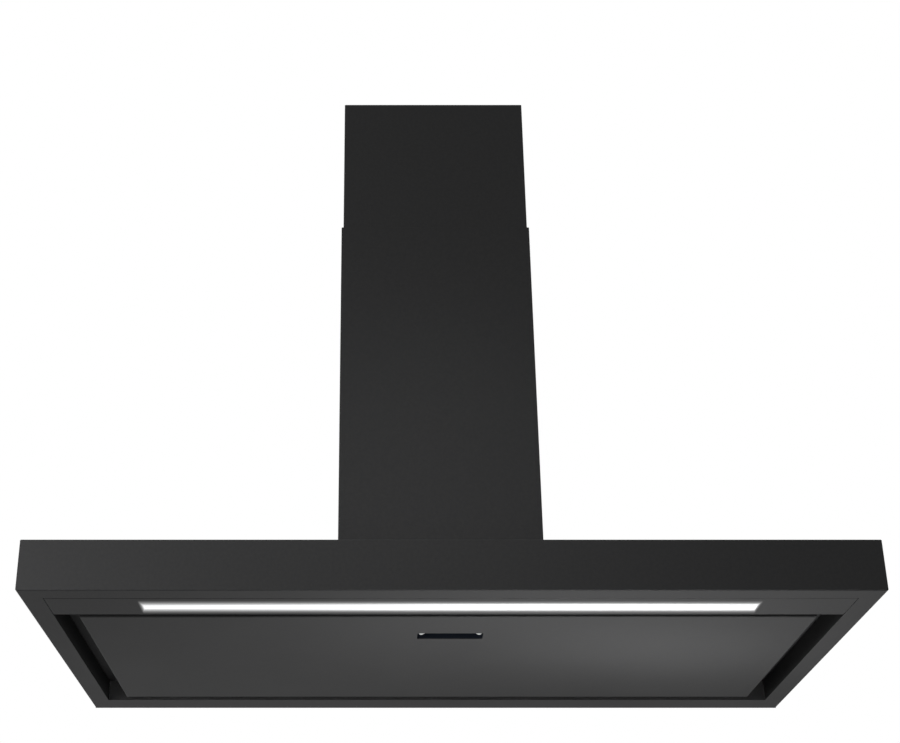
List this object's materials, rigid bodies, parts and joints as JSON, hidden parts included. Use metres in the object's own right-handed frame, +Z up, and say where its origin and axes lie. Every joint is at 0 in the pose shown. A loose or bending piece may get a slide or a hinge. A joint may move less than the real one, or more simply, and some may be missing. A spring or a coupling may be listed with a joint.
{
  "type": "chimney range hood",
  "caption": "Wall-mounted range hood: flat box canopy with a long lamp and hinged perimeter-suction panel below, blower inside, telescopic chimney cover above.",
  "frame": {"origin": "bottom centre of the face that lies on the wall", "axes": "+X to the right seen from the room, +Y into the wall, +Z up"},
  "size_m": [0.9, 0.5, 0.786],
  "materials": {
    "powder_coat": "fine matt black powder coat",
    "inner_coat": "matt black paint",
    "opal_plastic": "opal light cover",
    "aluminium": "mill aluminium",
    "filter_mesh": "expanded aluminium mesh",
    "circuit_board": "solder-masked board",
    "lamp_chip": "phosphor-filled chip",
    "black_plastic": "moulded black plastic",
    "grey_plastic": "moulded grey plastic",
    "plated_steel": "zinc-plated steel",
    "galvanised_steel": "galvanised sheet",
    "motor_paint": "zinc-passivated motor case",
    "magnet": "nickel-plated magnet",
    "rubber": "black rubber",
    "capacitor_case": "pale moulded case"
  },
  "bodies": {
    "root": {"canopy_shell": "powder_coat", "rear_plate": "powder_coat", "light_panel": "powder_coat", "light_diffuser": "opal_plastic", "light_channel": "aluminium", "light_board": "circuit_board", "light_chips": "lamp_chip", "filter_deck": "inner_coat", "filter_ledges": "inner_coat", "filter_catches": "inner_coat", "filter_frame_left": "aluminium", "filter_mesh_left": "filter_mesh", "filter_frame_right": "aluminium", "filter_mesh_right": "filter_mesh", "magnet_holders": "black_plastic", "magnets": "magnet", "hinge_brackets": "plated_steel", "hinge_pins": "plated_steel", "blower_box": "galvanised_steel", "blower_screws": "plated_steel", "scroll_half_left": "grey_plastic", "inlet_ring_left": "grey_plastic", "scroll_half_right": "grey_plastic", "inlet_ring_right": "grey_plastic", "motor_body": "motor_paint", "motor_spider": "plated_steel", "motor_grommets": "rubber", "run_capacitor": "capacitor_case", "capacitor_clip": "plated_steel", "supply_gland": "black_plastic", "outlet_adapter": "black_plastic", "flap_pins": "plated_steel", "control_box": "black_plastic", "control_lid": "black_plastic", "control_board": "circuit_board", "terminal_block": "grey_plastic", "lamp_driver": "black_plastic", "chimney_lower": "powder_coat", "chimney_glides": "black_plastic", "chimney_feet": "plated_steel"},
    "panel": {"suction_panel": "powder_coat", "finger_pull": "black_plastic", "pull_clips": "plated_steel", "strike_plates": "plated_steel", "hinge_arms": "plated_steel"},
    "upper_cover": {"chimney_upper": "powder_coat", "chimney_hanger": "plated_steel", "hanger_screws": "plated_steel"},
    "fan": {"impeller": "grey_plastic", "motor_shaft": "plated_steel"},
    "flap_front": {"damper_flap_front": "black_plastic"},
    "flap_rear": {"damper_flap_rear": "black_plastic"},
    "latch_left": {"filter_latch_left": "plated_steel"},
    "latch_right": {"filter_latch_right": "plated_steel"}
  },
  "joints": [
    {"name": "panel_hinge", "type": "hinge", "parent": "root", "child": "panel", "pos_m": [0, -0.064, 0.009], "axis": [1, 0, 0], "range_deg": [0, 85]},
    {"name": "chimney_slide", "type": "slide", "parent": "root", "child": "upper_cover", "axis": [0, 0, 1], "range_m": [-0.19, 0.26]},
    {"name": "fan_spin", "type": "hinge", "parent": "root", "child": "fan", "pos_m": [0, -0.108, 0.172], "axis": [1, 0, 0], "continuous": true},
    {"name": "flap_front_hinge", "type": "hinge", "parent": "root", "child": "flap_front", "pos_m": [0, -0.129, 0.32795], "axis": [-1, 0, 0], "range_deg": [0, 75]},
    {"name": "flap_rear_hinge", "type": "hinge", "parent": "root", "child": "flap_rear", "pos_m": [0, -0.121, 0.32795], "axis": [1, 0, 0], "range_deg": [0, 75]},
    {"name": "latch_left_slide", "type": "slide", "parent": "root", "child": "latch_left", "axis": [0, 1, 0], "range_m": [0, 0.006], "stiffness_N_per_m": 700, "springref_m": -0.004},
    {"name": "latch_right_slide", "type": "slide", "parent": "root", "child": "latch_right", "axis": [0, 1, 0], "range_m": [0, 0.006], "stiffness_N_per_m": 700, "springref_m": -0.004}
  ]
}
